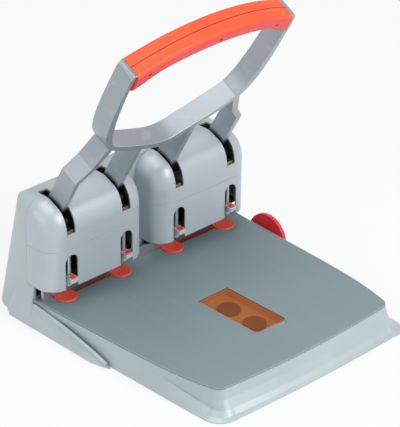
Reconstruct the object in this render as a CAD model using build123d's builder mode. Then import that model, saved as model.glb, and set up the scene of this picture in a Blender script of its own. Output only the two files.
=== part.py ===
from build123d import *
from math import cos, radians, sin
import os

# Heavy duty four-hole lever punch, in millimetres.
# Z is up from the floor, +X is the user's right and the paper goes in towards +Y.
os.makedirs("parts", exist_ok=True)

# ---------------------------------------------------------------- driving sizes
PITCH = 80.0  # hole pitch of the four-hole standard
HOLE_X = [-1.5 * PITCH, -0.5 * PITCH, 0.5 * PITCH, 1.5 * PITCH]
TABLE_Z = 32.0  # height of the paper table
THROAT = 15.5  # room for the paper stack under the heads
DIE_Y = 93.0  # line of the cutting disc centres
PIN_BACK = 5.0  # the pins stand this far in front of the disc centres
PIN_Y = DIE_Y - PIN_BACK
MARGIN = 12.0  # paper edge to hole centre
STOP_Y = PIN_Y + MARGIN

SHELL_Z = 1.2  # the shell ends this far above the floor
PLATE_T = 2.5
DECK_T = 3.0
DECK_Z = TABLE_Z - PLATE_T
FLOOR_T = 2.4
FLOOR_Z = 1.6
FLOOR_TOP = FLOOR_Z + FLOOR_T

HEAD_FRONT = DIE_Y - 11.0
HEAD_BACK = 122.1
HEAD_BOTTOM = TABLE_Z + THROAT
HEAD_TOP = 149.0
HEAD_IN_X = 9.0
HEAD_OUT_X = 150.0
HEAD_BEND_Z = 112.0
COVER_T = 2.0
SEAM_Z = 96.0
SEAM_GAP = 0.2
SIDE_ROUND = 22.0  # upright and top edges of the heads and the rear housing

TOWER_FRONT = 111.0
TOWER_STEP_Z = 47.2
TOWER_FACE = 122.3
TOWER_TOP_Y = 138.0
REAR_TOP_Y = 150.5
REAR_TOP_Z = 140.0
REAR_FOOT_Y = 188.2
REAR_ROUND = 32.0
REAR_TOP_ROUND = 22.0
TOWER_T = 2.5

FRAME_IN = 24.0  # head frame reaches from this X to its mirror about the head centre
FRAME_OUT = 136.0
CHEEK_T = 6.0
SPINE_Y = 104.0
SPINE_T = 7.0
SPINE_TOP = 100.0
GUIDE_Z = 89.0
GUIDE_T = 5.5
GUIDE_W = PITCH + 12.0
CHEEK_FRONT = HEAD_FRONT + 6.5  # the outer cheeks stay clear of the rounded cover
SEAT_Z = 56.0
SEAT_T = 6.0

PIVOT_Y = 113.5
PIVOT_Z = 118.0
SHAFT_D = 10.0
SHAFT_GAP = 0.05
BUSH_D = 14.0
BUSH_GAP = 0.03
EYE_R = 11.0
EYE_T = 8.0
NOSE_R = 6.0
NOSE_OUT = 17.0
NOSE_UP = 5.5

PIN_D = 5.5
PIN_GAP = 0.05
PIN_HOLLOW = 4.0
PIN_TIP_Z = 48.0
TRAVEL = 14.5
YOKE_W = 11.0
YOKE_H = 7.0
YOKE_Z = 110.0
YOKE_FRONT = HEAD_FRONT + COVER_T + 0.4
YOKE_BACK = 101.0
SPRING_Y = 97.0
SPRING_R = 3.3
SPRING_WIRE = 1.1
SPRING_TURNS = 9

DISC_D = 26.0
DISC_PROUD = 1.2
DISC_T = 2.3
DISC_STUB_D = 8.0
DISC_GAP = 0.3
STUB_GAP = 0.06

SLOT_W = 12.4
SLOT_Z = 113.5
SLOT_BACK = 130.0
ARCH_W = 18.0
ARCH_TOP = 88.0

FOOT_W = 10.4
FOOT_T = 5.0
FOOT_FRONT = PIN_Y - 11.6
COLLAR_R = 3.9
FOOT_BOTTOM = 49.0
FOOT_TOP = 61.0
TAB_W = 6.4
TAB_D = 5.8
TAB_FRONT = FOOT_FRONT + 1.2
TAB_PROUD = 1.0
TAB_H = 6.0
TAB_TRAVEL = 2.0
TAB_GAP = 0.3

STORE_X = 1.3
STORE_W = 44.8
STORE_FRONT = -103.9
STORE_BACK = -12.0
LID_T = 1.6
LID_GAP = 0.3
LID_PIN_D = 1.2
LID_BARREL_R = 1.6
LID_PIN_Y = STORE_BACK - 2.5
TRAY_WALL = 1.5
TRAY_FLOOR_Z = 20.0

RAIL_Y = 61.0
RAIL_W = 14.0
RAIL_T = 4.0
RAIL_Z = 8.0
RAIL_IN_X = 60.0
RAIL_GAP = 0.3
KNOB_X = 159.3
KNOB_T = 5.0
KNOB_Z = 14.0
KNOB_R = 28.0
KNOB_FLAT_Z = 5.0

DRAWER_X = 118.0
DRAWER_Y = 117.0
DRAWER_Z = FLOOR_TOP + 0.3
DRAWER_TOP = 28.0
DRAWER_T = 1.8
DRAWER_GAP = 0.5
PANEL_TOP = 30.0
PANEL_T = 2.4

LEAN = 28.93  # lever plane leans this far forward at rest, degrees
LEVER_REAR = -75.8  # lever plane: distances along its forward normal
LEVER_FRONT = -51.7
ARM_T = 7.0
GRIP_W = 30.0
GRIP_CLEAR = 0.15

WING_X = 149.9
WING_STEP_X = 152.5
WING_FLOOR_X = 158.5
SIDE_CUT_X = 149.6


def head_sign(name):
    return -1 if name == "left" else 1


# ---------------------------------------------------------------- plan outlines
# Half outlines of the table and base, from the back corner forwards to the front corner.
TABLE_BACK_Y = 110.8
TABLE_SIDE = [(151.9, TABLE_BACK_Y), (146.3, 5.0), (143.0, -58.0), (137.2, -115.0), (130.2, -147.0)]
TABLE_CORNER = (126.6, -154.4)
TABLE_FRONT = (118.0, -157.7)
TABLE_NOSE_Y = -163.2


def plan_loop(side, corner, front, nose_y):
    """Closed outline, symmetric about X = 0, drawn inside an open BuildLine."""
    back = side[0]
    Spline(*side)
    ThreePointArc(side[-1], corner, front)
    ThreePointArc(front, (0, nose_y), (-front[0], front[1]))
    ThreePointArc((-front[0], front[1]), (-corner[0], corner[1]), (-side[-1][0], side[-1][1]))
    Spline(*[(-x, y) for x, y in reversed(side)])
    Line((-back[0], back[1]), back)


# the wall under the table, pushed out at the front only
WALL_Z = 9.0
WALL_OUT = 8.0
WALL_SIDE = [(151.4, TABLE_BACK_Y), (145.4, 5.0), (141.6, -58.0), (136.6, -115.0), (134.6, -150.0)]
WALL_CORNER = (130.4, -161.6)
WALL_FRONT = (117.6, -166.2)
SKIRT_SIDE = [(151.0, TABLE_BACK_Y), (149.0, 5.0), (148.0, -58.0), (147.2, -115.0), (146.0, -152.0)]
SKIRT_CORNER = (139.6, -168.6)
SKIRT_FRONT = (118.0, -175.6)
SKIRT_NOSE_Y = -178.4

TABLE_RING = (TABLE_SIDE, TABLE_CORNER, TABLE_FRONT, TABLE_NOSE_Y)
WALL_RING = (WALL_SIDE, WALL_CORNER, WALL_FRONT, TABLE_NOSE_Y - WALL_OUT)
SKIRT_RING = (SKIRT_SIDE, SKIRT_CORNER, SKIRT_FRONT, SKIRT_NOSE_Y)


def between(a, b, t):
    """Point a fraction t of the way from a to b."""
    return (a[0] + (b[0] - a[0]) * t, a[1] + (b[1] - a[1]) * t)


def ring_between(a, b, t):
    """Outline a fraction t of the way from outline a to outline b."""
    side = [between(p, q, t) for p, q in zip(a[0], b[0])]
    return side, between(a[1], b[1], t), between(a[2], b[2], t), a[3] + (b[3] - a[3]) * t


BASE_RINGS = [
    (DECK_Z, TABLE_RING),
    (19.0, ring_between(TABLE_RING, WALL_RING, 0.36)),
    (WALL_Z, WALL_RING),
    (4.2, ring_between(WALL_RING, SKIRT_RING, 0.5)),
    (SHELL_Z, SKIRT_RING),
]
with BuildPart() as base_shell:
    for (z_high, ring_high), (z_low, ring_low) in zip(BASE_RINGS, BASE_RINGS[1:]):
        for z, ring in ((z_high, ring_high), (z_low, ring_low)):
            with BuildSketch(Plane.XY.offset(z)):
                with BuildLine():
                    plan_loop(*ring)
                make_face()
        loft(ruled=True)
    # side skirts: their top edge falls from the table edge to the front corner
    SKIRT_IN_X = 126.0
    SKIRT_RUN = [
        (100.0, 149.4, 149.5, 28.0),
        (-16.0, 145.0, 148.5, 28.0),
        (-44.0, 143.5, 148.2, 25.2),
        (-66.0, 142.0, 148.0, 22.9),
        (-87.0, 140.4, 147.7, 18.6),
        (-109.0, 138.8, 147.3, 14.8),
        (-132.0, 136.9, 146.8, 11.6),
        (-151.0, 134.4, 145.6, WALL_Z),
    ]
    for side in (-1, 1):
        for y, x_wall, x_floor, z_top in SKIRT_RUN:
            with BuildSketch(Plane.XZ.offset(-y)):
                with BuildLine():
                    Polyline(
                        (side * SKIRT_IN_X, SHELL_Z), (side * x_floor, SHELL_Z),
                        (side * x_wall, z_top), (side * SKIRT_IN_X, z_top), close=True,
                    )
                make_face()
        loft(ruled=True)
    # hollow underside
    with BuildSketch(Plane.XY):
        with BuildLine():
            Polyline(
                (146, 108), (138.6, -58), (131.8, -112), (121, -146), (115, -158), (-115, -158),
                (-121, -146), (-131.8, -112), (-138.6, -58), (-146, 108), close=True,
            )
        make_face()
    extrude(amount=DECK_Z - DECK_T, mode=Mode.SUBTRACT)
    with Locations((0, 110, FLOOR_TOP / 2)):
        Box(276, 12, FLOOR_TOP + 0.3, mode=Mode.SUBTRACT)
    # room beside the rear wings
    for side in (-1, 1):
        with Locations((side * (SIDE_CUT_X + 10), 50, DECK_Z / 2)):
            Box(20, 134, DECK_Z + 2, mode=Mode.SUBTRACT)
    # storage well, disc stubs and guide rail
    with Locations((STORE_X, (STORE_FRONT + STORE_BACK) / 2, DECK_Z)):
        Box(STORE_W + 4, STORE_BACK - STORE_FRONT + 4, 3 * DECK_T, mode=Mode.SUBTRACT)
    with Locations(*[(x, DIE_Y, DECK_Z) for x in HOLE_X]):
        Cylinder(DISC_STUB_D / 2 + STUB_GAP, 3 * DECK_T, mode=Mode.SUBTRACT)
    with Locations((140, RAIL_Y, RAIL_Z + RAIL_T / 2)):
        Box(40, RAIL_W + 2 * RAIL_GAP, RAIL_T + 2 * RAIL_GAP, mode=Mode.SUBTRACT)

# ---------------------------------------------------------------- paper table
with BuildPart() as paper_table:
    with BuildSketch(Plane.XY.offset(DECK_Z)):
        with BuildLine():
            plan_loop(TABLE_SIDE, TABLE_CORNER, TABLE_FRONT, TABLE_NOSE_Y)
        make_face()
    extrude(amount=PLATE_T)
    with BuildSketch(Plane.XY.offset(DECK_Z)) as window:
        with Locations((STORE_X, (STORE_FRONT + STORE_BACK) / 2)):
            Rectangle(STORE_W, STORE_BACK - STORE_FRONT)
        fillet(window.vertices().group_by(Axis.Y)[0], 4)
    extrude(amount=PLATE_T, mode=Mode.SUBTRACT)
    # finger notch in front of the lid
    NOTCH_X = 15.0
    NOTCH_R = 6.0
    with Locations((NOTCH_X, STORE_FRONT, TABLE_Z)):
        Cylinder(NOTCH_R, PLATE_T, mode=Mode.SUBTRACT)
    # pockets for the cutting discs
    with Locations(*[(x, DIE_Y, TABLE_Z) for x in HOLE_X]):
        Cylinder(
            DISC_D / 2 + DISC_GAP, TABLE_Z - (TABLE_Z + DISC_PROUD - DISC_T - DISC_GAP),
            align=(Align.CENTER, Align.CENTER, Align.MAX), mode=Mode.SUBTRACT,
        )
        Cylinder(DISC_STUB_D / 2 + STUB_GAP, 4 * PLATE_T, mode=Mode.SUBTRACT)
    STRIP_FRONT = DIE_Y - 1.0
    STRIP_W = PITCH + 18.0
    STRIP_BACK = STOP_Y - 0.4
    STRIP_GAP = 0.2
    for side in (-1, 1):
        with Locations((side * PITCH, (STRIP_FRONT + STRIP_BACK) / 2, TABLE_Z)):
            Box(
                STRIP_W + 2 * STRIP_GAP, STRIP_BACK - STRIP_FRONT + 2 * STRIP_GAP,
                3 * PLATE_T, mode=Mode.SUBTRACT,
            )

# amber strips that hold the cutting discs down in their pockets
STRIP_PROUD = 0.4
DISC_SEAT_Z = TABLE_Z + DISC_PROUD - DISC_T - DISC_GAP
strips = {}
for name in ("left", "right"):
    with BuildPart() as strip:
        with Locations((head_sign(name) * PITCH, (STRIP_FRONT + STRIP_BACK) / 2, DECK_Z)):
            Box(
                STRIP_W, STRIP_BACK - STRIP_FRONT, PLATE_T + STRIP_PROUD,
                align=(Align.CENTER, Align.CENTER, Align.MIN),
            )
        for dx in (-PITCH / 2, PITCH / 2):
            with Locations((head_sign(name) * PITCH + dx, DIE_Y, DISC_SEAT_Z)):
                Cylinder(
                    DISC_D / 2 + DISC_GAP, 2 * PLATE_T,
                    align=(Align.CENTER, Align.CENTER, Align.MIN), mode=Mode.SUBTRACT,
                )
                Cylinder(DISC_STUB_D / 2 + STUB_GAP, 4 * PLATE_T, mode=Mode.SUBTRACT)
    strips[name] = strip.part

# ---------------------------------------------------------------- cutting discs
discs = []
for x in HOLE_X:
    with BuildPart() as disc:
        with Locations((x, DIE_Y, TABLE_Z + DISC_PROUD)):
            Cylinder(DISC_D / 2, DISC_T, align=(Align.CENTER, Align.CENTER, Align.MAX))
        chamfer(disc.edges().group_by(Axis.Z)[-1], 0.4)
        with Locations((x, DIE_Y, TABLE_Z + DISC_PROUD - DISC_T)):
            Cylinder(DISC_STUB_D / 2, 7.0, align=(Align.CENTER, Align.CENTER, Align.MAX))
    discs.append(disc.part)

# ---------------------------------------------------------------- storage well
LID_Y = (STORE_FRONT + LID_GAP + LID_PIN_Y) / 2
TRAY_IN_W = STORE_W
with BuildPart() as storage_tray:
    with Locations((STORE_X, (STORE_FRONT + STORE_BACK) / 2, TRAY_FLOOR_Z)):
        Box(
            TRAY_IN_W + 2 * TRAY_WALL, STORE_BACK - STORE_FRONT + 2 * TRAY_WALL,
            DECK_Z - TRAY_FLOOR_Z, align=(Align.CENTER, Align.CENTER, Align.MIN),
        )
    with Locations((STORE_X, (STORE_FRONT + STORE_BACK) / 2, TRAY_FLOOR_Z + TRAY_WALL)):
        Box(
            TRAY_IN_W, STORE_BACK - STORE_FRONT, DECK_Z,
            align=(Align.CENTER, Align.CENTER, Align.MIN), mode=Mode.SUBTRACT,
        )
    # ledge that carries the front edge of the lid
    with Locations((STORE_X, STORE_FRONT, TRAY_FLOOR_Z)):
        Box(
            TRAY_IN_W / 2, 2.4, TABLE_Z - LID_T - LID_GAP - TRAY_FLOOR_Z,
            align=(Align.CENTER, Align.MIN, Align.MIN),
        )

with BuildPart() as lid_hinge_pin:
    with Locations(Location((STORE_X, LID_PIN_Y, TABLE_Z - LID_BARREL_R), (0, 90, 0))):
        Cylinder(LID_PIN_D / 2, STORE_W)

with BuildPart() as storage_lid:
    with BuildSketch(Plane.XY.offset(TABLE_Z - LID_T)):
        with Locations((STORE_X, LID_Y)):
            Rectangle(STORE_W - 2 * LID_GAP, LID_PIN_Y - STORE_FRONT - LID_GAP)
    extrude(amount=LID_T)
    fillet(storage_lid.edges().filter_by(Axis.Z).group_by(Axis.Y)[0], 3.6)
    with Locations(Location((STORE_X, LID_PIN_Y, TABLE_Z - LID_BARREL_R), (0, 90, 0))):
        Cylinder(LID_BARREL_R, STORE_W - 2 * LID_GAP)
        Cylinder(LID_PIN_D / 2 + SHAFT_GAP, STORE_W, mode=Mode.SUBTRACT)

SPARE_T = 4.0
spares = []
for y in (-78.0, -38.0):
    with BuildPart() as spare:
        with Locations((STORE_X, y, TRAY_FLOOR_Z + TRAY_WALL)):
            Cylinder(DISC_D / 2, SPARE_T, align=(Align.CENTER, Align.CENTER, Align.MIN))
        chamfer(spare.edges().group_by(Axis.Z)[-1], 0.4)
    spares.append(spare.part)

# ---------------------------------------------------------------- rear housing
REAR_SLOPE = (REAR_FOOT_Y - REAR_TOP_Y) / (REAR_TOP_Z - SHELL_Z)


def rear_y(z):
    """Y of the sloping rear face at height z."""
    return REAR_FOOT_Y - REAR_SLOPE * (z - SHELL_Z)


def rear_form(inset, foot):
    """Solid form of the rear housing down to height foot, shrunk by inset."""
    half = HEAD_OUT_X - inset
    front = TOWER_FRONT + inset
    face = TOWER_FACE + inset
    top = HEAD_TOP - inset
    step = TOWER_STEP_Z - inset
    crest = TOWER_TOP_Y - inset / 2
    with BuildPart() as form:
        for z, r in ((foot, REAR_ROUND), (top, REAR_TOP_ROUND)):
            with BuildSketch(Plane.XY.offset(z)) as plan:
                with Locations((0, front)):
                    Rectangle(2 * half, rear_y(z) - inset - front, align=(Align.CENTER, Align.MIN))
                fillet(plan.vertices().group_by(Axis.Y)[-1], r - inset)
        loft(ruled=True)
        with BuildSketch(Plane.YZ.offset(-half)):
            with BuildLine():
                Polyline(
                    (crest, top), (face, top), (face, step), (front, step), (front, foot),
                    (rear_y(foot) + 9, foot), (REAR_TOP_Y + 9, REAR_TOP_Z), (REAR_TOP_Y - inset, REAR_TOP_Z),
                )
                ThreePointArc(
                    (REAR_TOP_Y - inset, REAR_TOP_Z), (146.2 - inset, 146.5 - inset), (crest, top),
                )
            make_face()
        extrude(amount=2 * half, mode=Mode.INTERSECT)
        with BuildSketch(Plane.XZ.offset(-REAR_FOOT_Y - 20)) as outline:
            with Locations((0, foot)):
                Rectangle(2 * half, top - foot, align=(Align.CENTER, Align.MIN))
            fillet(outline.vertices().group_by(Axis.Y)[-1], SIDE_ROUND - inset)
        extrude(amount=REAR_FOOT_Y + 20, mode=Mode.INTERSECT)
    return form.part


rear_outside = rear_form(0.0, SHELL_Z)
rear_inside = rear_form(TOWER_T, 0.0)
with BuildPart() as rear_housing:
    add(rear_outside)
    # side wings, flared to the floor and running forward under the table
    WING_LINE = [(-13.9, SHELL_Z), (18.0, 12.6), (50.5, 19.2), (TOWER_FRONT, 27.6)]
    WING_TOP = [(WING_X, TOWER_STEP_Z - 0.2), (WING_STEP_X, 36.0)]
    for side in (-1, 1):
        for x, top in WING_TOP:
            with BuildSketch(Plane.YZ.offset(side * x)):
                with BuildLine():
                    Polyline(
                        *WING_LINE, (TOWER_FRONT + 1, top), (138, top), (148, 20), (155, SHELL_Z),
                        close=True,
                    )
                make_face()
        with BuildSketch(Plane.YZ.offset(side * WING_FLOOR_X)):
            with BuildLine():
                Polyline(
                    (8, SHELL_Z), (26, 3.5), (50.5, 4.5), (TOWER_FRONT, 5.5),
                    (TOWER_FRONT + 1, 6), (130, 6), (138, 4), (144, SHELL_Z), close=True,
                )
            make_face()
        loft(ruled=True)
    # bead along the front edge of each wing
    BEAD_R = 2.5
    for side in (-1, 1):
        with BuildLine() as bead:
            Spline(
                (side * 152.2, 108, 25.6), (side * 152.4, 50.5, 18.0),
                (side * 152.4, 18, 11.6), (side * 151.6, -9, 3.9),
            )
        with BuildSketch(Plane(bead.wires()[0] @ 0, z_dir=bead.wires()[0] % 0)):
            Circle(BEAD_R)
        sweep(path=bead.wires()[0])
    add(rear_inside, mode=Mode.SUBTRACT)
    # openings towards the two heads
    for side in (-1, 1):
        with BuildSketch(Plane.XZ.offset(-126)) as doorway:
            with Locations((side * (HEAD_IN_X + HEAD_OUT_X) / 2, TABLE_Z + 2)):
                Rectangle(
                    HEAD_OUT_X - HEAD_IN_X - 6, HEAD_TOP - 3 - TABLE_Z - 2, align=(Align.CENTER, Align.MIN),
                )
            fillet(doorway.vertices().group_by(Axis.Y)[-1], SIDE_ROUND - 3)
        extrude(amount=18, mode=Mode.SUBTRACT)
    with Locations(*[(x, SLOT_BACK, HEAD_TOP) for x in HOLE_X]):
        Box(SLOT_W, 20, 16, align=(Align.CENTER, Align.MAX, Align.CENTER), mode=Mode.SUBTRACT)
    with Locations((0, 112, FLOOR_TOP / 2)):
        Box(276, 8, FLOOR_TOP + 0.3, mode=Mode.SUBTRACT)
    # chip drawer opening
    with Locations((0, 176, (DRAWER_Z + PANEL_TOP) / 2)):
        Box(
            2 * (DRAWER_X + DRAWER_GAP + 0.5), 30, PANEL_TOP - DRAWER_Z + 2 * DRAWER_GAP,
            mode=Mode.SUBTRACT,
        )
    # guide rail passes through the right wing
    with Locations((155, RAIL_Y, RAIL_Z + RAIL_T / 2)):
        Box(20, RAIL_W + 2 * RAIL_GAP, RAIL_T + 2 * RAIL_GAP, mode=Mode.SUBTRACT)

# ---------------------------------------------------------------- bottom plate, feet, screws
with BuildPart() as base_bottom:
    with BuildSketch(Plane.XY.offset(FLOOR_Z)):
        with BuildLine():
            Polyline(
                (122, 183), (136, 170), (136, -58), (129, -112), (117, -146), (111, -154),
                (-111, -154), (-117, -146), (-129, -112), (-136, -58), (-136, 170), (-122, 183), close=True,
            )
        make_face()
    extrude(amount=FLOOR_T)

PAD_D = 20.0
PAD_AT = [(0, 0), (-112, -130), (112, -130), (-116, 158), (116, 158)]
with BuildPart() as rubber_feet:
    with Locations(*[(x, y, 0) for x, y in PAD_AT]):
        Cylinder(PAD_D / 2, FLOOR_Z, align=(Align.CENTER, Align.CENTER, Align.MIN))

SCREW_AT = [(-124, -60), (124, -60), (-124, 60), (124, 60), (-60, -140), (60, -140)]
with BuildPart() as base_screws:
    with Locations(*[(x, y, FLOOR_Z) for x, y in SCREW_AT]):
        Cylinder(3.6, 1.0, align=(Align.CENTER, Align.CENTER, Align.MAX))

# ---------------------------------------------------------------- heads


def head_profile(inset, bottom, back):
    """Side profile of a head, drawn inside an open BuildLine on a YZ plane."""
    front = HEAD_FRONT + inset
    top = HEAD_TOP - inset
    Polyline((120, top), (back, top), (back, bottom), (front, bottom), (front, HEAD_BEND_Z))
    Spline(
        (front, HEAD_BEND_Z), (85.3 + inset * 0.9, 130.0 - inset * 0.3),
        (92.6 + inset * 0.5, 139.8 - inset * 0.8), (104.0, 145.6 - inset), (120, top),
        tangents=((0, 1), (1, 0)),
    )


def head_form(side, inset, bottom, back):
    """Solid form of one head with rounded sides, shrunk by inset."""
    x_in = HEAD_IN_X + inset
    x_out = HEAD_OUT_X - inset
    with BuildPart() as form:
        with BuildSketch(Plane.YZ.offset(x_in if side > 0 else -x_out)):
            with BuildLine():
                head_profile(inset, bottom, back)
            make_face()
        extrude(amount=x_out - x_in)
        for x in (x_out, x_in):
            fillet(
                form.edges().filter_by(
                    lambda e: abs(e.center().X - side * x) < 0.01
                    and e.center().Z > bottom + 1 and e.center().Y < back - 0.5
                ),
                SIDE_ROUND - inset,
            )
    return form.part


covers = {}
for name in ("left", "right"):
    side = head_sign(name)
    outside = head_form(side, 0.0, HEAD_BOTTOM, HEAD_BACK)
    inside = head_form(side, COVER_T, HEAD_BOTTOM - 20, HEAD_BACK + 8)
    with BuildPart() as head:
        add(outside)
        add(inside, mode=Mode.SUBTRACT)
        for x in (side * PITCH / 2, side * PITCH * 1.5):
            with Locations((x, SLOT_BACK, SLOT_Z)):
                Box(SLOT_W, 60, 50, align=(Align.CENTER, Align.MAX, Align.MIN), mode=Mode.SUBTRACT)
            with BuildSketch(Plane.XZ.offset(-HEAD_FRONT - 8)):
                with Locations((x, HEAD_BOTTOM - 5)):
                    Rectangle(ARCH_W, ARCH_TOP - ARCH_W / 2 - HEAD_BOTTOM + 5, align=(Align.CENTER, Align.MIN))
                with Locations((x, ARCH_TOP - ARCH_W / 2)):
                    Circle(ARCH_W / 2)
            extrude(amount=16, mode=Mode.SUBTRACT)
    with BuildPart() as upper:
        add(head.part)
        split(bisect_by=Plane.XY.offset(SEAM_Z + SEAM_GAP / 2), keep=Keep.TOP)
    with BuildPart() as lower:
        add(head.part)
        split(bisect_by=Plane.XY.offset(SEAM_Z - SEAM_GAP / 2), keep=Keep.BOTTOM)
    covers["upper", name] = upper.part
    covers["lower", name] = lower.part

# ---------------------------------------------------------------- head frames and shafts
frames = {}
shafts = {}
for name in ("left", "right"):
    side = head_sign(name)
    mid = side * PITCH
    width = FRAME_OUT - FRAME_IN
    with BuildPart() as frame:
        with Locations((mid, SPINE_Y, TABLE_Z)):
            Box(width, SPINE_T, SPINE_TOP - TABLE_Z, align=(Align.CENTER, Align.MIN, Align.MIN))
        with Locations((mid, YOKE_FRONT, GUIDE_Z)):
            Box(GUIDE_W, SPINE_Y - YOKE_FRONT, GUIDE_T, align=(Align.CENTER, Align.MIN, Align.MIN))
        with Locations((mid, PIN_Y + 4, SEAT_Z)):
            Box(width, SPINE_Y - PIN_Y - 4, SEAT_T, align=(Align.CENTER, Align.MIN, Align.MIN))
        for x in (mid - (width - CHEEK_T) / 2, mid, mid + (width - CHEEK_T) / 2):
            front = YOKE_FRONT if x == mid else CHEEK_FRONT
            with BuildSketch(Plane.YZ.offset(x - CHEEK_T / 2)):
                with BuildLine():
                    Polyline(
                        (front, GUIDE_Z), (front, GUIDE_Z + GUIDE_T), (101, 112),
                        (103, PIVOT_Z + 8), (108, PIVOT_Z + 11), (119, PIVOT_Z + 11),
                        (124, PIVOT_Z + 6), (124, PIVOT_Z - 8), (SPINE_Y + SPINE_T, 94),
                        (SPINE_Y + SPINE_T, 50), (SPINE_Y, 50), (SPINE_Y, GUIDE_Z), close=True,
                    )
                make_face()
            extrude(amount=CHEEK_T)
        with Locations(Location((mid, PIVOT_Y, PIVOT_Z), (0, 90, 0))):
            Cylinder(SHAFT_D / 2 + BUSH_GAP, 2 * width, mode=Mode.SUBTRACT)
        for x in (mid - PITCH / 2, mid + PITCH / 2):
            with Locations((x, PIN_Y, GUIDE_Z)):
                Cylinder(PIN_D / 2 + PIN_GAP, 3 * GUIDE_T, mode=Mode.SUBTRACT)
            with Locations((x, SPRING_Y, GUIDE_Z)):
                Cylinder(SPRING_R + SPRING_WIRE / 2 + 0.8, 3 * GUIDE_T, mode=Mode.SUBTRACT)
            with Locations((x, DIE_Y, TABLE_Z)):
                Cylinder(DISC_D / 2 + DISC_GAP, 2 * (DISC_PROUD + DISC_GAP), mode=Mode.SUBTRACT)
    frames[name] = frame.part
    with BuildPart() as shaft:
        with Locations(Location((mid, PIVOT_Y, PIVOT_Z), (0, 90, 0))):
            Cylinder(SHAFT_D / 2, width + 8)
    shafts[name] = shaft.part

RING_T = 1.2
RING_R = 7.5
ring_x = []
for side in (-1, 1):
    ring_x.append(side * (FRAME_OUT + RING_T / 2))
    ring_x.append(side * (FRAME_IN - RING_T / 2))
with BuildPart() as retaining_rings:
    with Locations(*[Location((x, PIVOT_Y, PIVOT_Z), (0, 90, 0)) for x in ring_x]):
        Cylinder(RING_R, RING_T)
        Cylinder(SHAFT_D / 2 + BUSH_GAP, 3 * RING_T, mode=Mode.SUBTRACT)

STOP_T = SPINE_Y - STOP_Y
STOP_H = 13.0
STOP_OUT_X = 146.0
with BuildPart() as back_stop:
    with Locations((0, STOP_Y, TABLE_Z)):
        Box(2 * STOP_OUT_X, STOP_T, STOP_H, align=(Align.CENTER, Align.MIN, Align.MIN))
    with Locations(*[(x, DIE_Y, TABLE_Z) for x in HOLE_X]):
        Cylinder(DISC_D / 2 + DISC_GAP, 2 * (DISC_PROUD + DISC_GAP), mode=Mode.SUBTRACT)

# ---------------------------------------------------------------- pins, yokes, springs, feet, tabs
pins = []
yokes = []
springs = []
feet = []
tabs = []
for x in HOLE_X:
    with BuildPart() as pin:
        with Locations((x, PIN_Y, PIN_TIP_Z)):
            Cylinder(PIN_D / 2, YOKE_Z - PIN_TIP_Z, align=(Align.CENTER, Align.CENTER, Align.MIN))
            Cylinder(PIN_HOLLOW / 2, 3 * (YOKE_Z - PIN_TIP_Z), mode=Mode.SUBTRACT)
    pins.append(pin.part)

    with BuildPart() as yoke:
        with Locations((x, YOKE_FRONT, YOKE_Z)):
            Box(YOKE_W, YOKE_BACK - YOKE_FRONT, YOKE_H, align=(Align.CENTER, Align.MIN, Align.MIN))
        fillet(yoke.edges().filter_by(Axis.Z), 1.5)
        # the chips leave over the top of the yoke
        with Locations((x, PIN_Y, YOKE_Z)):
            Cylinder(PIN_HOLLOW / 2, 3 * YOKE_H, mode=Mode.SUBTRACT)
    yokes.append(yoke.part)

    SPRING_BASE = SEAT_Z + SEAT_T + SPRING_WIRE / 2 + 0.05
    SPRING_LONG = YOKE_Z - SPRING_WIRE / 2 - 0.05 - SPRING_BASE
    with BuildPart() as spring:
        with BuildLine(Plane((x, SPRING_Y, SPRING_BASE))) as coil:
            Helix(SPRING_LONG / SPRING_TURNS, SPRING_LONG, SPRING_R)
        with BuildSketch(Plane(coil.wires()[0] @ 0, z_dir=coil.wires()[0] % 0)):
            Circle(SPRING_WIRE / 2)
        sweep(path=coil.wires()[0], is_frenet=True)
    springs.append(spring.part)

    with BuildPart() as foot:
        with Locations((x, FOOT_FRONT, FOOT_TOP)):
            Box(FOOT_W, PIN_Y + 4 - FOOT_FRONT, FOOT_T, align=(Align.CENTER, Align.MIN, Align.MAX))
        fillet(foot.edges().filter_by(Axis.Z).group_by(Axis.Y)[0], 1.5)
        # collar that guides the pin down to the throat
        with Locations((x, PIN_Y, FOOT_BOTTOM)):
            Cylinder(COLLAR_R, FOOT_TOP - FOOT_BOTTOM, align=(Align.CENTER, Align.CENTER, Align.MIN))
            Cylinder(PIN_D / 2 + PIN_GAP, 60, mode=Mode.SUBTRACT)
        with Locations((x, TAB_FRONT - TAB_GAP, FOOT_TOP + TAB_PROUD - TAB_H - TAB_TRAVEL - TAB_GAP)):
            Box(
                TAB_W + 2 * TAB_GAP, TAB_D + 2 * TAB_GAP, 20,
                align=(Align.CENTER, Align.MIN, Align.MIN), mode=Mode.SUBTRACT,
            )
    feet.append(foot.part)

    with BuildPart() as tab:
        with Locations((x, TAB_FRONT, FOOT_TOP + TAB_PROUD)):
            Box(TAB_W, TAB_D, TAB_H, align=(Align.CENTER, Align.MIN, Align.MAX))
    tabs.append(tab.part)

# ---------------------------------------------------------------- lever
lever_plane = Plane(
    origin=(0, DIE_Y, TABLE_Z), x_dir=(1, 0, 0),
    z_dir=(0, -cos(radians(LEAN)), -sin(radians(LEAN))),
)
LEVER_MID = (LEVER_REAR + LEVER_FRONT) / 2
LEVER_W = LEVER_FRONT - LEVER_REAR
ARM_END = 60.0
LOOP_OUT_LOW = [(0, 147.5), (25, 153.6), (50, 163.2), (75, 174.2), (97, 187.5)]
LOOP_CROWN = 333.0
CAP_TOP = LOOP_CROWN - 25.0
LOOP_OUT_SIDE = [(97, 187.5), (107.4, 203), (114.2, 227), (117.2, 252), (118.3, 278), (118.8, CAP_TOP)]
LOOP_CAP = [(118.8, CAP_TOP), (117.6, CAP_TOP + 5.6), (115.4, CAP_TOP + 7.4), (112.0, CAP_TOP + 7.0)]
LOOP_IN_LOW = [(0, 155.5), (25, 161.4), (50, 171.0), (75, 182.0), (90, 190)]
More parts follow.
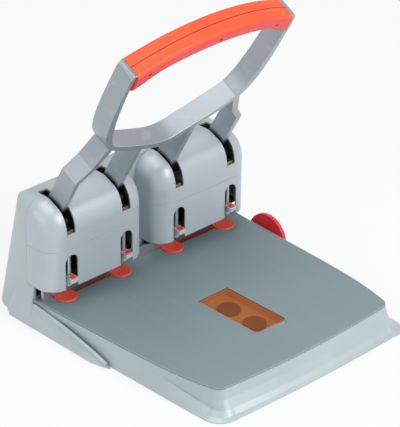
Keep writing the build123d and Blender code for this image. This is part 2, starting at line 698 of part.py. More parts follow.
LOOP_IN_SIDE = [(90, 190), (97, 202), (104.6, 226), (109, 251), (111.6, 276), (112.6, CAP_TOP - 8.0)]
LOOP_IN_TOP = (112.0, CAP_TOP - 0.4)
BAR_T = 7.0


def mirrored(points):
    return [(-x, y) for x, y in reversed(points)]


with BuildPart() as lever_frame:
    with BuildSketch(lever_plane.offset(LEVER_REAR)):
        with BuildLine():
            Spline(*(mirrored(LOOP_OUT_LOW)[:-1] + LOOP_OUT_LOW))
            Spline(*LOOP_OUT_SIDE)
            Polyline(*LOOP_CAP)
            ThreePointArc(LOOP_CAP[-1], (0, LOOP_CROWN), mirrored(LOOP_CAP)[0])
            Polyline(*mirrored(LOOP_CAP))
            Spline(*mirrored(LOOP_OUT_SIDE))
        make_face()
        with BuildLine():
            Spline(*(mirrored(LOOP_IN_LOW)[:-1] + LOOP_IN_LOW))
            Spline(*LOOP_IN_SIDE)
            Line(LOOP_IN_SIDE[-1], LOOP_IN_TOP)
            ThreePointArc(LOOP_IN_TOP, (0, LOOP_CROWN - BAR_T), (-LOOP_IN_TOP[0], LOOP_IN_TOP[1]))
            Line((-LOOP_IN_TOP[0], LOOP_IN_TOP[1]), mirrored(LOOP_IN_SIDE)[0])
            Spline(*mirrored(LOOP_IN_SIDE))
        make_face(mode=Mode.SUBTRACT)
        half = ARM_T / 2
        for side in (-1, 1):
            inner = side * PITCH / 2
            outer = side * PITCH * 1.5
            with BuildLine():
                Polyline(
                    (inner - half, ARM_END), (inner + half, ARM_END), (inner + half, 163),
                    (inner - half, 163), close=True,
                )
            make_face()
            with BuildLine():
                Polyline(
                    (outer + side * half, ARM_END), (outer + side * half, 140.5),
                    (side * 108.5, 159.0), (side * 97.0, 187.0), (side * 89.0, 181.5),
                    (side * 101.5, 155.0), (outer - side * half, 138.0),
                    (outer - side * half, ARM_END), close=True,
                )
            make_face()
    extrude(amount=LEVER_W)
    for x in HOLE_X:
        with BuildSketch(Plane.YZ.offset(x - EYE_T / 2)):
            with Locations((PIVOT_Y, PIVOT_Z)):
                Circle(EYE_R)
            with Locations((PIVOT_Y - NOSE_OUT, PIVOT_Z + NOSE_UP)):
                Circle(NOSE_R)
            with BuildLine():
                Polyline(
                    (PIVOT_Y - NOSE_OUT, PIVOT_Z + NOSE_UP + NOSE_R - 0.5),
                    (PIVOT_Y - NOSE_OUT, PIVOT_Z + 0.6), (PIVOT_Y - 8, PIVOT_Z + 0.6),
                    (PIVOT_Y, PIVOT_Z + EYE_R - 0.5), close=True,
                )
            make_face()
        extrude(amount=EYE_T)
    with Locations(Location((0, PIVOT_Y, PIVOT_Z), (0, 90, 0))):
        Cylinder(BUSH_D / 2 + BUSH_GAP, 300, mode=Mode.SUBTRACT)

with BuildPart() as pivot_bushes:
    with Locations(*[Location((x, PIVOT_Y, PIVOT_Z), (0, 90, 0)) for x in HOLE_X]):
        Cylinder(BUSH_D / 2, EYE_T)
        Cylinder(SHAFT_D / 2 + SHAFT_GAP, 2 * EYE_T, mode=Mode.SUBTRACT)

# grip: two half shells round the top bar
GRIP_UP = 5.4
GRIP_UNDER = 14.4
GRIP_CROWN = LOOP_CROWN + GRIP_UP
GRIP_BELLY = LOOP_CROWN - GRIP_UNDER
GRIP_END = [(111.4, LOOP_CROWN - 17.0), (111.0, LOOP_CROWN - 42.0)]
GRIP_FLARE = (70.0, GRIP_BELLY - 8.0)
GRIP_HOOK = [(84.0, GRIP_BELLY - 13.4), (97.0, GRIP_BELLY - 21.0)]
GRIP_ROUND = 6.0
grips = {}
with BuildPart() as grip_form:
    with BuildSketch(lever_plane.offset(LEVER_MID - GRIP_W / 2)):
        with BuildLine():
            ThreePointArc(GRIP_END[0], (0, GRIP_CROWN), mirrored(GRIP_END)[-1])
            Line(*GRIP_END)
            Spline(GRIP_END[1], *reversed(GRIP_HOOK), GRIP_FLARE)
            ThreePointArc(GRIP_FLARE, (0, GRIP_BELLY), (-GRIP_FLARE[0], GRIP_FLARE[1]))
            Spline(*mirrored([GRIP_END[1], *reversed(GRIP_HOOK), GRIP_FLARE]))
            Line(*mirrored(GRIP_END))
        make_face()
    extrude(amount=GRIP_W)
    rims = grip_form.edges().filter_by(
        lambda e: abs(abs((e.center() - lever_plane.origin).dot(lever_plane.z_dir) - LEVER_MID) - GRIP_W / 2) < 0.01
        and e.length > 60
    )
    fillet(rims, GRIP_ROUND)
    # channel for the top bar
    with BuildSketch(lever_plane.offset(LEVER_REAR - GRIP_CLEAR)):
        with BuildLine():
            ThreePointArc(
                (LOOP_CAP[-1][0], LOOP_CAP[-1][1] + GRIP_CLEAR), (0, LOOP_CROWN + GRIP_CLEAR),
                (-LOOP_CAP[-1][0], LOOP_CAP[-1][1] + GRIP_CLEAR),
            )
            Line(
                (-LOOP_CAP[-1][0], LOOP_CAP[-1][1] + GRIP_CLEAR),
                (-LOOP_IN_TOP[0], LOOP_IN_TOP[1] - GRIP_CLEAR),
            )
            ThreePointArc(
                (-LOOP_IN_TOP[0], LOOP_IN_TOP[1] - GRIP_CLEAR), (0, LOOP_CROWN - BAR_T - GRIP_CLEAR),
                (LOOP_IN_TOP[0], LOOP_IN_TOP[1] - GRIP_CLEAR),
            )
            Line(
                (LOOP_IN_TOP[0], LOOP_IN_TOP[1] - GRIP_CLEAR),
                (LOOP_CAP[-1][0], LOOP_CAP[-1][1] + GRIP_CLEAR),
            )
        make_face()
    extrude(amount=LEVER_W + 2 * GRIP_CLEAR, mode=Mode.SUBTRACT)

with BuildPart() as grip_rear:
    add(grip_form.part)
    split(bisect_by=lever_plane.offset(LEVER_MID), keep=Keep.BOTTOM)
GRIP_SCREW_AT = [(-96.0, LOOP_CROWN - 20.0), (-3.0, LOOP_CROWN - 5.0), (87.0, LOOP_CROWN - 20.5)]
SCREW_R = 2.0
SCREW_HEAD = 1.7
with BuildPart() as grip_front:
    add(grip_form.part)
    split(bisect_by=lever_plane.offset(LEVER_MID), keep=Keep.TOP)
    with BuildSketch(lever_plane.offset(LEVER_MID + GRIP_W / 2)):
        with Locations(*GRIP_SCREW_AT):
            Circle(SCREW_R + 0.2)
    extrude(amount=-(GRIP_W - LEVER_W) / 2, mode=Mode.SUBTRACT)

with BuildPart() as grip_screws:
    with BuildSketch(lever_plane.offset(LEVER_FRONT)):
        with Locations(*GRIP_SCREW_AT):
            Circle(SCREW_R)
    extrude(amount=SCREW_HEAD)

# ---------------------------------------------------------------- paper guide
with BuildPart() as guide_rail:
    with Locations((RAIL_IN_X, RAIL_Y, RAIL_Z)):
        Box(KNOB_X - RAIL_IN_X, RAIL_W, RAIL_T, align=(Align.MIN, Align.CENTER, Align.MIN))

with BuildPart() as guide_disc:
    with BuildSketch(Plane.YZ.offset(KNOB_X)):
        with Locations((RAIL_Y, KNOB_Z)):
            Circle(KNOB_R)
        with Locations((RAIL_Y, KNOB_FLAT_Z)):
            Rectangle(3 * KNOB_R, 2 * KNOB_R, align=(Align.CENTER, Align.MAX), mode=Mode.SUBTRACT)
    extrude(amount=KNOB_T)
    fillet(guide_disc.edges().filter_by(lambda e: e.center().X > KNOB_X + KNOB_T - 0.01), 1.2)

CHANNEL_X = 100.0
CHANNEL_L = 60.0
with BuildPart() as guide_channel:
    with Locations((CHANNEL_X, RAIL_Y, FLOOR_TOP)):
        Box(CHANNEL_L, RAIL_W + 6, RAIL_Z + RAIL_T + 2.5 - FLOOR_TOP, align=(Align.CENTER, Align.CENTER, Align.MIN))
    with Locations((CHANNEL_X, RAIL_Y, RAIL_Z + RAIL_T / 2)):
        Box(2 * CHANNEL_L, RAIL_W + 2 * RAIL_GAP, RAIL_T + 2 * RAIL_GAP, mode=Mode.SUBTRACT)

# ---------------------------------------------------------------- chip drawer
with BuildPart() as chip_drawer:
    with Locations((0, DRAWER_Y, DRAWER_Z)):
        Box(
            2 * DRAWER_X, rear_y(DRAWER_TOP) - PANEL_T - DRAWER_Y, DRAWER_TOP - DRAWER_Z,
            align=(Align.CENTER, Align.MIN, Align.MIN),
        )
    with Locations((0, DRAWER_Y + DRAWER_T, DRAWER_Z + DRAWER_T)):
        Box(
            2 * (DRAWER_X - DRAWER_T), rear_y(DRAWER_TOP) - PANEL_T - DRAWER_Y - 2 * DRAWER_T,
            DRAWER_TOP, align=(Align.CENTER, Align.MIN, Align.MIN), mode=Mode.SUBTRACT,
        )
    with BuildSketch(Plane.YZ.offset(-DRAWER_X)):
        with BuildLine():
            Polyline(
                (rear_y(DRAWER_Z), DRAWER_Z), (rear_y(PANEL_TOP), PANEL_TOP),
                (rear_y(PANEL_TOP) - 2 * PANEL_T, PANEL_TOP),
                (rear_y(PANEL_TOP) - 2 * PANEL_T, DRAWER_Z), close=True,
            )
        make_face()
    extrude(amount=2 * DRAWER_X)

# ---------------------------------------------------------------- named pieces
pieces = {
    "base_shell": base_shell.part,
    "base_bottom": base_bottom.part,
    "rubber_feet": rubber_feet.part,
    "base_screws": base_screws.part,
    "rear_housing": rear_housing.part,
    "paper_table": paper_table.part,
    "storage_tray": storage_tray.part,
    "storage_lid": storage_lid.part,
    "lid_hinge_pin": lid_hinge_pin.part,
    "spare_disc_front": spares[0],
    "spare_disc_rear": spares[1],
    "back_stop": back_stop.part,
    "disc_strip_left": strips["left"],
    "disc_strip_right": strips["right"],
    "head_cover_upper_left": covers["upper", "left"],
    "head_cover_upper_right": covers["upper", "right"],
    "head_cover_lower_left": covers["lower", "left"],
    "head_cover_lower_right": covers["lower", "right"],
    "head_frame_left": frames["left"],
    "head_frame_right": frames["right"],
    "pivot_shaft_left": shafts["left"],
    "pivot_shaft_right": shafts["right"],
    "retaining_rings": retaining_rings.part,
    "guide_channel": guide_channel.part,
    "guide_rail": guide_rail.part,
    "guide_disc": guide_disc.part,
    "chip_drawer": chip_drawer.part,
    "lever_frame": lever_frame.part,
    "pivot_bushes": pivot_bushes.part,
    "grip_rear": grip_rear.part,
    "grip_front": grip_front.part,
    "grip_screws": grip_screws.part,
}
for n in range(len(HOLE_X)):
    pieces[f"cutting_disc_{n + 1}"] = discs[n]
    pieces[f"punch_pin_{n + 1}"] = pins[n]
    pieces[f"pin_yoke_{n + 1}"] = yokes[n]
    pieces[f"return_spring_{n + 1}"] = springs[n]
    pieces[f"pin_guide_foot_{n + 1}"] = feet[n]
    pieces[f"pin_release_{n + 1}"] = tabs[n]

for name, piece in pieces.items():
    piece.label = name
    export_step(piece, f"parts/{name}.step")
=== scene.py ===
# %% [markdown]
# # A lever hole punch
# The punch's solids come from a CAD model that is already packed. Here they get
# their finishes, one small extra piece, a camera and plain studio light. Nothing
# that the CAD places is moved, so this lesson is about looks only.

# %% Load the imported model
import math

import bmesh
import bpy
from mathutils import Matrix, Vector


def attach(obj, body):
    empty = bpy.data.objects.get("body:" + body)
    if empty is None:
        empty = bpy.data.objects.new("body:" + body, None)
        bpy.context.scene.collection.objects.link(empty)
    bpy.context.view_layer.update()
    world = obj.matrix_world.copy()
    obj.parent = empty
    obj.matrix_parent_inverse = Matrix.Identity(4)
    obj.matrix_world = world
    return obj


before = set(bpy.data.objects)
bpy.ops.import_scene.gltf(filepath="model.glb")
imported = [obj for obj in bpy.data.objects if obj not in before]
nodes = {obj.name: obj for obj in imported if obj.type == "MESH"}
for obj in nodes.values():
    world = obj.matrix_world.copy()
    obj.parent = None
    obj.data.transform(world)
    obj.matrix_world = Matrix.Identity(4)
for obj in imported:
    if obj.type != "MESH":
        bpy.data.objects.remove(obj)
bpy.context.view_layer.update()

# places that the finishes use, in metres
HOLE_X = (-0.12, -0.04, 0.04, 0.12)
DISC_Y = 0.093
PIVOT_Y, PIVOT_Z = 0.1135, 0.118

# %% [markdown]
# ## The camera
# The photograph was solved as a pinhole view: 400 by 427 pixels, a focal length
# of 2450 pixels, turned 44 degrees to the left of the user's view and looking
# down by almost 29 degrees. A long lens far away keeps the base's sides nearly
# parallel. The three axes are built by hand, because a small roll is part of it.

# %% Camera
IMAGE_W = 400
FOCAL_PX = 2450.2
SENSOR_MM = 36.0
EYE = (-1.6213, -1.6653, 1.3999)
TURN, DIP, ROLL = (math.radians(v) for v in (44.10, 28.69, 0.78))

look = Vector((math.sin(TURN) * math.cos(DIP), math.cos(TURN) * math.cos(DIP), -math.sin(DIP)))
right = Vector((math.cos(TURN), -math.sin(TURN), 0.0))
above = right.cross(look)
side_axis = math.cos(ROLL) * right + math.sin(ROLL) * above
up_axis = -math.sin(ROLL) * right + math.cos(ROLL) * above

lens = bpy.data.cameras.new("photo_lens")
lens.sensor_fit = "HORIZONTAL"
lens.sensor_width = SENSOR_MM
lens.lens = SENSOR_MM * FOCAL_PX / IMAGE_W
lens.clip_start, lens.clip_end = 0.1, 100.0
camera = bpy.data.objects.new("photo_camera", lens)
bpy.context.scene.collection.objects.link(camera)
turned = Matrix((side_axis, up_axis, -look)).transposed().to_4x4()
camera.matrix_world = Matrix.Translation(EYE) @ turned
bpy.context.scene.camera = camera
print("lens", round(lens.lens, 1), "mm")

# %% [markdown]
# ## Shader maths
# Materials are easier to read as sums. This small class wraps a socket, so that
# `1 - mask * 0.5` adds the Math nodes by itself. One method makes every other
# node: its type, its settings, and what goes into its sockets.


# %% The finish class
class Finish:
    """A socket of a material, with the sums that a finish needs."""

    def __init__(self, tree, socket):
        self.tree, self.socket = tree, socket

    def node(self, kind, settings=None, out=0, **inputs):
        made = self.tree.nodes.new("ShaderNode" + kind)
        for key, value in (settings or {}).items():
            setattr(made, key, value)
        for key, value in inputs.items():
            # a key such as i0 is a socket's number, and any other is its name
            target = made.inputs[int(key[1:]) if key[1:].isdigit() else key.replace("_", " ")]
            if isinstance(value, Finish):
                self.tree.links.new(value.socket, target)
            else:
                target.default_value = value
        return Finish(self.tree, made.outputs[out])

    def math(self, operation, *values, clamp=False):
        return self.node("Math", {"operation": operation, "use_clamp": clamp},
                         **{f"i{n}": v for n, v in enumerate(values)})

    def __add__(self, other):
        return self.math("ADD", self, other)

    def __radd__(self, other):
        return self.math("ADD", other, self)

    def __sub__(self, other):
        return self.math("SUBTRACT", self, other)

    def __rsub__(self, other):
        return self.math("SUBTRACT", other, self)

    def __mul__(self, other):
        return self.math("MULTIPLY", self, other)

    def __pow__(self, other):
        return self.math("POWER", self, other)

    def size(self):
        """Its value without a sign."""
        return self.math("ABSOLUTE", self)

    def clamped(self):
        return self.math("ADD", self, 0.0, clamp=True)

    def over(self, low, high):
        """0 below low, 1 above high, smooth between."""
        return self.node("MapRange", {"interpolation_type": "SMOOTHSTEP"},
                         Value=self, From_Min=low, From_Max=high)

    def colour(self, below, above_it):
        """Mixes two colours, which are numbers or links, by this mask."""
        values = [(*c, 1.0) if isinstance(c, tuple) else c for c in (below, above_it)]
        return self.node("Mix", {"data_type": "RGBA"}, out=2, i0=self, i6=values[0], i7=values[1])


def start_finish(name):
    """A new material: its shader and the place of a point, in metres."""
    made = bpy.data.materials.new(name)
    made.use_nodes = True
    tree = made.node_tree
    shader = tree.nodes["Principled BSDF"]
    place = Finish(tree, None).node("TexCoord", out="Object")
    return made, shader, place


def join(shader, **inputs):
    """Feeds a shader's sockets with links or numbers."""
    for key, value in inputs.items():
        target = shader.inputs[key.replace("_", " ")]
        if isinstance(value, Finish):
            value.tree.links.new(value.socket, target)
        else:
            target.default_value = value


def noise(place, scale, detail=3.0, rough=0.5):
    return place.node("TexNoise", Vector=place, Scale=scale, Detail=detail, Roughness=rough)


def stretched(place, x, y, z, shift=(0.0, 0.0, 0.0)):
    return place.node("Mapping", Vector=place, Scale=(x, y, z), Location=shift)


def toned(tone, factor, lift=0.0):
    """A colour made lighter or darker, at most white."""
    return tuple(min(1.0, c * factor + lift) for c in tone)


def soft_edges(place, radius):
    """A normal that rounds every edge, and a mask that is 1 on those edges."""
    rounded = place.node("Bevel", {"samples": 6}, Radius=radius)
    flat = place.node("NewGeometry", out="Normal")
    same = place.node("VectorMath", {"operation": "DOT_PRODUCT"}, out="Value", i0=rounded, i1=flat)
    return rounded, (1.0 - same).over(0.01, 0.16)


def grain(place, height, strength, depth, normal):
    """Turns a height into a fine bump of that depth in metres."""
    return place.node("Bump", Strength=strength, Distance=depth, Height=height, Normal=normal)


# %% [markdown]
# ## Silver-grey moulded plastic
# The casings are moulded in a plastic with a pearly silver pigment. Up close it
# has a very fine spark grain, and its edges are polished by hands. The colour
# drifts a little over a hand's width, the roughness has faint smears, and two
# scales of noise make the grain.


# %% Casing finish
def silver_plastic(name, tone, dark, rough=0.42):
    made, shader, place = start_finish(name)
    rounded, edge = soft_edges(place, 0.0009)
    drift = noise(place, 9.0, 2.0)
    fleck = noise(place, 1900.0, 2.0, 0.6)
    smear = noise(stretched(place, 1.0, 1.0, 0.35), 42.0, 4.0, 0.6).over(0.45, 0.75)
    body = (drift * 0.6 + fleck * 0.4).over(0.3, 0.7).colour(dark, tone)
    shown = (edge * 0.45).colour(body, toned(tone, 1.22))
    join(shader, Base_Color=shown, Metallic=0.25, Roughness=smear * 0.08 + fleck * 0.1 + (rough - 0.08),
         Normal=grain(place, fleck, 0.25, 0.00006, rounded))
    shader.inputs["Specular IOR Level"].default_value = 0.5
    return made


shell_finish = silver_plastic("casing_silver", (0.52, 0.60, 0.615), (0.47, 0.55, 0.56))
head_finish = silver_plastic("head_silver", (0.54, 0.60, 0.64), (0.48, 0.54, 0.585))
foot_finish = silver_plastic("guide_foot_silver", (0.62, 0.68, 0.70), (0.55, 0.61, 0.63), rough=0.36)
print("casing finishes made")

# %% [markdown]
# ## The painted paper table
# The table is pressed steel with a darker, finely textured paint, so that paper slides on it. Paper has polished
# long, soft streaks along the way it goes in, and there are a few fine scratches. A stretched noise makes the
# streaks, and a narrow band of a second one the scratches. The front is paler than the part under the heads: that
# darkening is a painted shade. A pale line along every edge is a painted highlight.


# %% Table finish
def table_paint():
    made, shader, place = start_finish("table_paint")
    rounded, edge = soft_edges(place, 0.0011)
    speck = noise(place, 1500.0, 2.0, 0.6)
    drift = noise(place, 7.0, 2.0)
    streak = noise(stretched(place, 60.0, 3.0, 3.0), 1.0, 4.0, 0.6).over(0.4, 0.7)
    depth = place.node("SeparateXYZ", out="Y", Vector=place)
    ahead_of_heads = (DISC_Y - depth).over(0.0, 0.25)
    scratch = noise(stretched(place, 500.0, 9.0, 9.0, (3.1, 0.4, 0.0)), 1.0, 2.0, 0.5).over(0.71, 0.75)
    body = (speck * 0.5 + drift * 0.5).over(0.3, 0.7).colour((0.19, 0.262, 0.29), (0.225, 0.30, 0.325))
    # painted shade: the table is painted darker towards the heads and paler at the front
    shaded_under_heads = (ahead_of_heads * 0.6).colour(body, (0.30, 0.385, 0.40))
    rubbed = (streak * 0.08).colour(shaded_under_heads, (0.31, 0.38, 0.41))
    worn = (scratch * 0.18).colour(rubbed, (0.50, 0.54, 0.56))
    # painted highlight: every edge of the table is painted a pale grey
    shown = (edge * 0.8).colour(worn, (0.62, 0.66, 0.68))
    join(shader, Base_Color=shown, Metallic=0.25, Roughness=0.5 - streak * 0.04 + speck * 0.08,
         Normal=grain(place, speck - scratch * 0.4, 0.35, 0.00008, rounded))
    return made


table_finish = table_paint()

# %% [markdown]
# ## The cast lever
# The loop and its arms are one aluminium casting under a silver paint. A casting is never quite flat: a slow
# waviness moves the highlights, and the paint has an orange-peel grain. It is more metallic than the plastic next to
# it. Close to the pivots the eyes are painted near black, a painted shade for the dark slots of the heads that they
# sit in.


# %% Lever finish
def cast_silver():
    made, shader, place = start_finish("cast_silver")
    rounded, edge = soft_edges(place, 0.0016)
    wave = noise(place, 55.0, 2.0)
    peel = noise(place, 1100.0, 2.0, 0.5)
    rub = noise(stretched(place, 1.0, 1.0, 3.0), 30.0, 4.0, 0.6).over(0.5, 0.75)
    body = (peel * 0.5 + rub * 0.5).over(0.25, 0.75).colour((0.37, 0.42, 0.45), (0.44, 0.495, 0.525))
    polished = (edge * 0.7).colour(body, (0.74, 0.78, 0.80))
    # painted shade: within about 3 cm of the pivot axis the lever is painted near black
    from_pivot = stretched(place, 0.0, 1.0, 1.0, (0.0, -PIVOT_Y, -PIVOT_Z))
    reach = place.node("VectorMath", {"operation": "LENGTH"}, out="Value", i0=from_pivot)
    shown = reach.over(0.026, 0.036).colour((0.012, 0.012, 0.013), polished)
    join(shader, Base_Color=shown, Metallic=0.55, Roughness=0.3 + rub * 0.08 + peel * 0.06,
         Normal=grain(place, wave * 0.8 + peel * 0.2, 0.3, 0.00018, rounded))
    return made


lever_finish = cast_silver()

# %% [markdown]
# ## Coloured plastics
# The grip, the discs, the tabs and the guide knob are dyed through. Dyed plastic lets a little light in, which a
# touch of subsurface would show, but a slightly lighter edge does it more cheaply. The grip has a satin spark grain
# for hold, and its two halves meet in a dark line on the lever's middle plane. Its side that looks down is painted a
# pinker red, a painted shade.


# %% Dyed plastic finish
LEVER_NORMAL = (0.0, -0.8752, -0.4837)  # the lever leans forward at rest
LEVER_FOOT = (0.0, 0.093, 0.032)  # a point from which the lever's planes are measured
GRIP_SEAM = 0.06375  # the grip's middle plane lies this far behind that point


def grip_shade_and_seam(place, shown):
    """The grip's painted shade on the faces that look down, and its dark parting line, over a colour."""
    facing = place.node("SeparateXYZ", out="Z", Vector=place.node("NewGeometry", out="Normal"))
    # painted shade: faces that look down are painted a pinker red
    underside_shade = ((0.35 - facing).over(0.0, 0.7) * 0.75).colour(shown, (0.86, 0.05, 0.08))
    from_foot = stretched(place, 1.0, 1.0, 1.0, tuple(-v for v in LEVER_FOOT))
    ahead = place.node("VectorMath", {"operation": "DOT_PRODUCT"}, out="Value", i0=from_foot, i1=LEVER_NORMAL)
    line = 1.0 - (ahead + GRIP_SEAM).size().over(0.00035, 0.0008)
    return (line * 0.8).colour(underside_shade, (0.22, 0.012, 0.006))


def dyed_plastic(name, tone, deep, rim, rough, seam_and_shade=False):
    made, shader, place = start_finish(name)
    rounded, edge = soft_edges(place, 0.0009)
    fleck = noise(place, 1400.0, 2.0, 0.55)
    cloud = noise(place, 26.0, 3.0, 0.5)
    body = (cloud * 0.7 + fleck * 0.3).over(0.3, 0.7).colour(deep, tone)
    shown = (edge * 0.6).colour(body, rim)
    if seam_and_shade:
        shown = grip_shade_and_seam(place, shown)
    join(shader, Base_Color=shown, Roughness=rough - 0.06 + cloud * 0.08 + fleck * 0.06,
         Normal=grain(place, fleck, 0.3, 0.00007, rounded))
    shader.inputs["Specular IOR Level"].default_value = 0.45
    return made


grip_finish = dyed_plastic("grip_orange", (0.98, 0.125, 0.035), (0.90, 0.10, 0.03), (1.0, 0.3, 0.16), 0.45, True)
tab_finish = dyed_plastic("tab_red", (0.95, 0.08, 0.045), (0.86, 0.06, 0.035), (1.0, 0.42, 0.34), 0.42)
knob_finish = dyed_plastic("knob_red", (0.98, 0.045, 0.06), (0.9, 0.035, 0.05), (1.0, 0.4, 0.34), 0.4)
spare_finish = dyed_plastic("spare_disc_brown", (0.05, 0.012, 0.006), (0.03, 0.008, 0.004), (0.4, 0.1, 0.03), 0.45)
# painted light: the tray is painted a bright amber so that it and the spare discs show in the shade under the lid
lit_tray_finish = dyed_plastic("tray_amber_painted_light", (0.80, 0.34, 0.10), (0.70, 0.28, 0.08), (0.9, 0.45, 0.2), 0.5)

# %% [markdown]
# ## The cutting discs
# Each disc is the anvil for a hollow pin. As it is turned a step at a time, the pin leaves a ring of half-moon cuts.
# The distance from the disc's centre gives the ring, and the angle round it cuts the ring into the single bites. A
# pale pink rim on the disc's edges is a painted highlight.


# %% Disc finish
CUT_RING = 0.0052  # radius of the ring of cuts
CUTS = 9.0


def disc_red(name, x, y):
    made, shader, place = start_finish(name)
    rounded, edge = soft_edges(place, 0.0007)
    centred = stretched(place, 1.0, 1.0, 1.0, (-x, -y, 0.0))
    across = centred.node("SeparateXYZ", out="X", Vector=centred)
    along = centred.node("SeparateXYZ", out="Y", Vector=centred)
    radius = (across * across + along * along) ** 0.5
    turns = across.math("ARCTAN2", along, across) * CUTS
    bites = turns.math("SINE", turns).over(-0.6, 0.2)
    ring = (1.0 - (radius - CUT_RING).size().over(0.0002, 0.0007)) * bites
    fleck = noise(place, 1600.0, 2.0)
    body = fleck.over(0.3, 0.7).colour((0.86, 0.065, 0.04), (0.96, 0.09, 0.055))
    cut = (ring * 0.5).colour(body, (0.6, 0.035, 0.028))
    # painted highlight: the disc's edges are painted a pale pink
    shown = (edge * 0.7).colour(cut, (1.0, 0.48, 0.38))
    join(shader, Base_Color=shown, Roughness=0.38 + ring * 0.2 + fleck * 0.05,
         Normal=grain(place, fleck * 0.3 - ring, 0.5, 0.0001, rounded))
    return made


disc_finishes = [disc_red(f"disc_red_{n}", x, DISC_Y) for n, x in enumerate(HOLE_X, 1)]

# %% [markdown]
# ## Clear amber
# The lid of the spares well and the strips under the pins are tinted clear plastic. Real refraction would need both
# its sides and a slow render, so alpha lets the spare discs show, and a thin coat gives the gloss. The strips are
# painted a far darker amber than the lid, a painted shade for the shadow under the heads.


# %% Amber finish
def amber(name, alpha, tone):
    made, shader, place = start_finish(name)
    rounded, edge = soft_edges(place, 0.0006)
    ripple = noise(place, 38.0, 3.0, 0.5)
    fine = noise(place, 900.0, 2.0, 0.6)
    body = ripple.over(0.3, 0.7).colour(tone, toned(tone, 0.82))
    shown = (edge * 0.7).colour(body, (0.95, 0.5, 0.2))
    join(shader, Base_Color=shown, Roughness=0.14 + fine * 0.08, Alpha=(edge * 0.3 + alpha + ripple * 0.1).clamped(),
         Normal=grain(place, ripple, 0.2, 0.0002, rounded))
    shader.inputs["Coat Weight"].default_value = 0.12
    shader.inputs["Coat Roughness"].default_value = 0.15
    shader.inputs["Specular IOR Level"].default_value = 0.3
    return made


lid_finish = amber("lid_amber", 0.22, (0.50, 0.14, 0.02))
# painted shade: the strips are painted a far darker amber than the lid, for the shadow under the heads
shaded_strip_finish = amber("strip_amber_painted_shade", 0.82, (0.16, 0.016, 0.01))

# %% [markdown]
# ## Steel, brass, black paint and rubber
# The pins are ground round, so their marks run round them: noise squeezed along Z. Shafts, retaining rings and the
# lid's hinge pin use the same finish with the squeeze along X. Inside the punch the frames are painted black, and
# the bushes and yokes are brass.


# %% Metal finishes
def turned_metal(name, tone, squeeze, rough=0.24):
    made, shader, place = start_finish(name)
    rounded, edge = soft_edges(place, 0.0004)
    lines = noise(stretched(place, *squeeze), 1.0, 4.0, 0.65)
    stain = noise(place, 120.0, 3.0)
    body = (lines * 0.6 + stain * 0.4).over(0.25, 0.75).colour(toned(tone, 0.74), tone)
    shown = (edge * 0.6).colour(body, toned(tone, 1.25))
    join(shader, Base_Color=shown, Metallic=1.0, Roughness=rough + lines * 0.16,
         Normal=grain(place, lines, 0.3, 0.00004, rounded))
    return made


pin_finish = turned_metal("ground_steel", (0.74, 0.75, 0.76), (60.0, 60.0, 2600.0))
shaft_finish = turned_metal("turned_steel", (0.66, 0.67, 0.68), (2200.0, 60.0, 60.0))
plate_finish = turned_metal("brushed_steel", (0.60, 0.61, 0.62), (40.0, 900.0, 1800.0), 0.3)
brass_finish = turned_metal("turned_brass", (0.42, 0.30, 0.12), (1800.0, 80.0, 80.0), 0.3)


# %% Black finishes
def black_plastic(name, tone, rough, fine, depth):
    made, shader, place = start_finish(name)
    rounded, edge = soft_edges(place, 0.0008)
    pebble = place.node("TexVoronoi", Vector=place, Scale=fine)
    dust = noise(place, 60.0, 4.0, 0.6).over(0.5, 0.8)
    body = (dust * 0.5).colour(tone, toned(tone, 2.2, 0.02))
    shown = (edge * 0.5).colour(body, toned(tone, 2.5, 0.05))
    join(shader, Base_Color=shown, Roughness=rough + dust * 0.15, Normal=grain(place, pebble, 0.4, depth, rounded))
    return made


frame_finish = black_plastic("frame_black_paint", (0.022, 0.022, 0.024), 0.38, 900.0, 0.00005)
inner_finish = black_plastic("inner_black_plastic", (0.03, 0.03, 0.032), 0.5, 1300.0, 0.00008)
rubber_finish = black_plastic("foot_rubber", (0.018, 0.018, 0.018), 0.72, 1700.0, 0.00012)
print("finishes", len(bpy.data.materials))

# %% [markdown]
# ## Dressing the CAD nodes
# A node's shape is already right, so only its material slots change. A table of
# name beginnings keeps that short, and every node has to be named by one.

# %% Give each node its finish
FINISH_OF = {
    "base_shell": shell_finish, "rear_housing": shell_finish, "head_cover": head_finish,
    "pin_guide_foot": foot_finish, "paper_table": table_finish, "lever_frame": lever_finish,
    "grip_rear": grip_finish, "grip_front": grip_finish, "guide_disc": knob_finish,
    "pin_release": tab_finish, "spare_disc": spare_finish, "storage_lid": lid_finish,
    "disc_strip": shaded_strip_finish, "pivot_shaft": shaft_finish, "retaining_rings": shaft_finish,
    "lid_hinge_pin": shaft_finish, "back_stop": plate_finish, "grip_screws": inner_finish,
    "base_screws": plate_finish, "punch_pin": pin_finish, "return_spring": pin_finish,
    "pin_yoke": brass_finish, "head_frame": frame_finish, "pivot_bushes": brass_finish,
    "storage_tray": lit_tray_finish, "chip_drawer": inner_finish, "base_bottom": inner_finish,
    "guide_channel": inner_finish, "guide_rail": inner_finish, "rubber_feet": rubber_finish,
}


def dress(thing, finish):
    thing.data.materials.clear()
    thing.data.materials.append(finish)


for name, node in nodes.items():
    if name.startswith("cutting_disc"):
        dress(node, disc_finishes[int(name[-1]) - 1])
        continue
    dress(node, next(f for start, f in FINISH_OF.items() if name.startswith(start)))
print("dressed", len(nodes))

# %% [markdown]
# ## The finger catch
# In front of the lid the table has a shallow round notch. A thin bright crescent lies in it: a painted highlight, a
# sheet in the lever's silver finish where the notch catches the light. It is a disc from a bmesh cone with equal
# ends, cut straight where the lid's front edge is, and it rides with the base.


# %% Finger catch
CATCH_AT = (0.015, -0.1039, 0.0312)
CATCH_R = 0.0055
CATCH_T = 0.0006
LID_FRONT_Y = -0.1044  # the catch ends here, just in front of the lid
CATCH_BODY = "base"


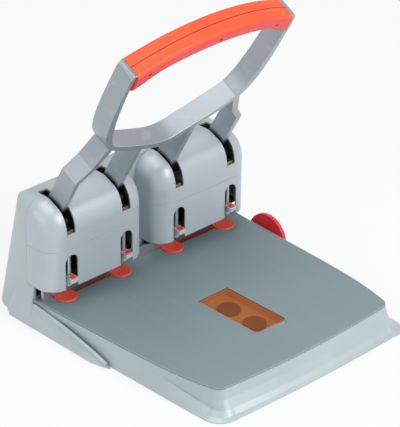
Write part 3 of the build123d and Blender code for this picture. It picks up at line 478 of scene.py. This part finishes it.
def finger_catch_highlight():
    form = bmesh.new()
    bmesh.ops.create_cone(form, cap_ends=True, segments=64, radius1=CATCH_R, radius2=CATCH_R, depth=CATCH_T,
                          matrix=Matrix.Translation(CATCH_AT))
    cut = bmesh.ops.bisect_plane(form, geom=form.verts[:] + form.edges[:] + form.faces[:],
                                 plane_co=(0, LID_FRONT_Y, 0), plane_no=(0, 1, 0), clear_outer=True)
    rim = [part for part in cut["geom_cut"] if isinstance(part, bmesh.types.BMEdge)]
    bmesh.ops.holes_fill(form, edges=rim, sides=0)
    bmesh.ops.recalc_face_normals(form, faces=form.faces[:])
    mesh = bpy.data.meshes.new("finger_catch_highlight")
    form.to_mesh(mesh)
    form.free()
    catch = bpy.data.objects.new("finger_catch_highlight", mesh)
    bpy.context.scene.collection.objects.link(catch)
    # painted highlight: the sheet takes the lever's bright silver finish
    dress(catch, lever_finish)
    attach(catch, CATCH_BODY)


finger_catch_highlight()
print("finger catch on", CATCH_BODY)

# %% [markdown]
# ## Floor and light
# The floor is white and shows as white, yet keeps a soft shadow: for the camera,
# and for reflections, most of it glows at 1 and the rest is lit. Three broad
# lamps light the punch, and the main one stands in front of it.


# %% Stage
def seen_directly(place):
    path = place.node("LightPath", out="Is Camera Ray")
    glossy = Finish(path.tree, path.socket.node.outputs["Is Glossy Ray"])
    through = Finish(path.tree, path.socket.node.outputs["Is Transmission Ray"])
    return (path + glossy + through).clamped()


floor_form = bmesh.new()
bmesh.ops.create_grid(floor_form, x_segments=1, y_segments=1, size=6.0)
floor_mesh = bpy.data.meshes.new("studio_floor")
floor_form.to_mesh(floor_mesh)
floor_form.free()
floor = bpy.data.objects.new("studio_floor", floor_mesh)
bpy.context.scene.collection.objects.link(floor)
white, shader, place = start_finish("studio_white")
join(shader, Base_Color=(0.86, 0.86, 0.86, 1.0), Roughness=0.9)
glow = place.node("Emission", Color=(1.0, 1.0, 1.0, 1.0), Strength=1.0)
lit = Finish(white.node_tree, shader.outputs[0])
both = place.node("MixShader", i0=seen_directly(place) * 0.8, i1=lit, i2=glow)
white.node_tree.links.new(both.socket, white.node_tree.nodes["Material Output"].inputs[0])
floor.data.materials.append(white)

world = bpy.data.worlds.new("studio_air")
bpy.context.scene.world = world
world.use_nodes = True
sky = world.node_tree.nodes["Background"]
air = Finish(world.node_tree, None)
tone = seen_directly(air).colour((0.78, 0.80, 0.82), (1.0, 1.0, 1.0))
world.node_tree.links.new(tone.socket, sky.inputs[0])
sky.inputs[1].default_value = 0.62


def lamp(name, place_at, aim, size, watts):
    data = bpy.data.lights.new(name, "AREA")
    data.shape, data.size, data.energy = "SQUARE", size, watts
    made = bpy.data.objects.new(name, data)
    bpy.context.scene.collection.objects.link(made)
    made.location = place_at
    made.rotation_euler = (Vector(aim) - Vector(place_at)).to_track_quat("-Z", "Y").to_euler()


lamp("main_light", (0.5, -2.3, 1.7), (0, 0, 0.1), 1.2, 38.0)
lamp("top_light", (-0.3, 0.3, 2.2), (0, 0, 0.05), 1.5, 14.0)
lamp("left_light", (-2.0, 0.2, 0.9), (0, 0, 0.1), 1.0, 5.0)

bpy.context.scene.view_settings.view_transform = "Standard"
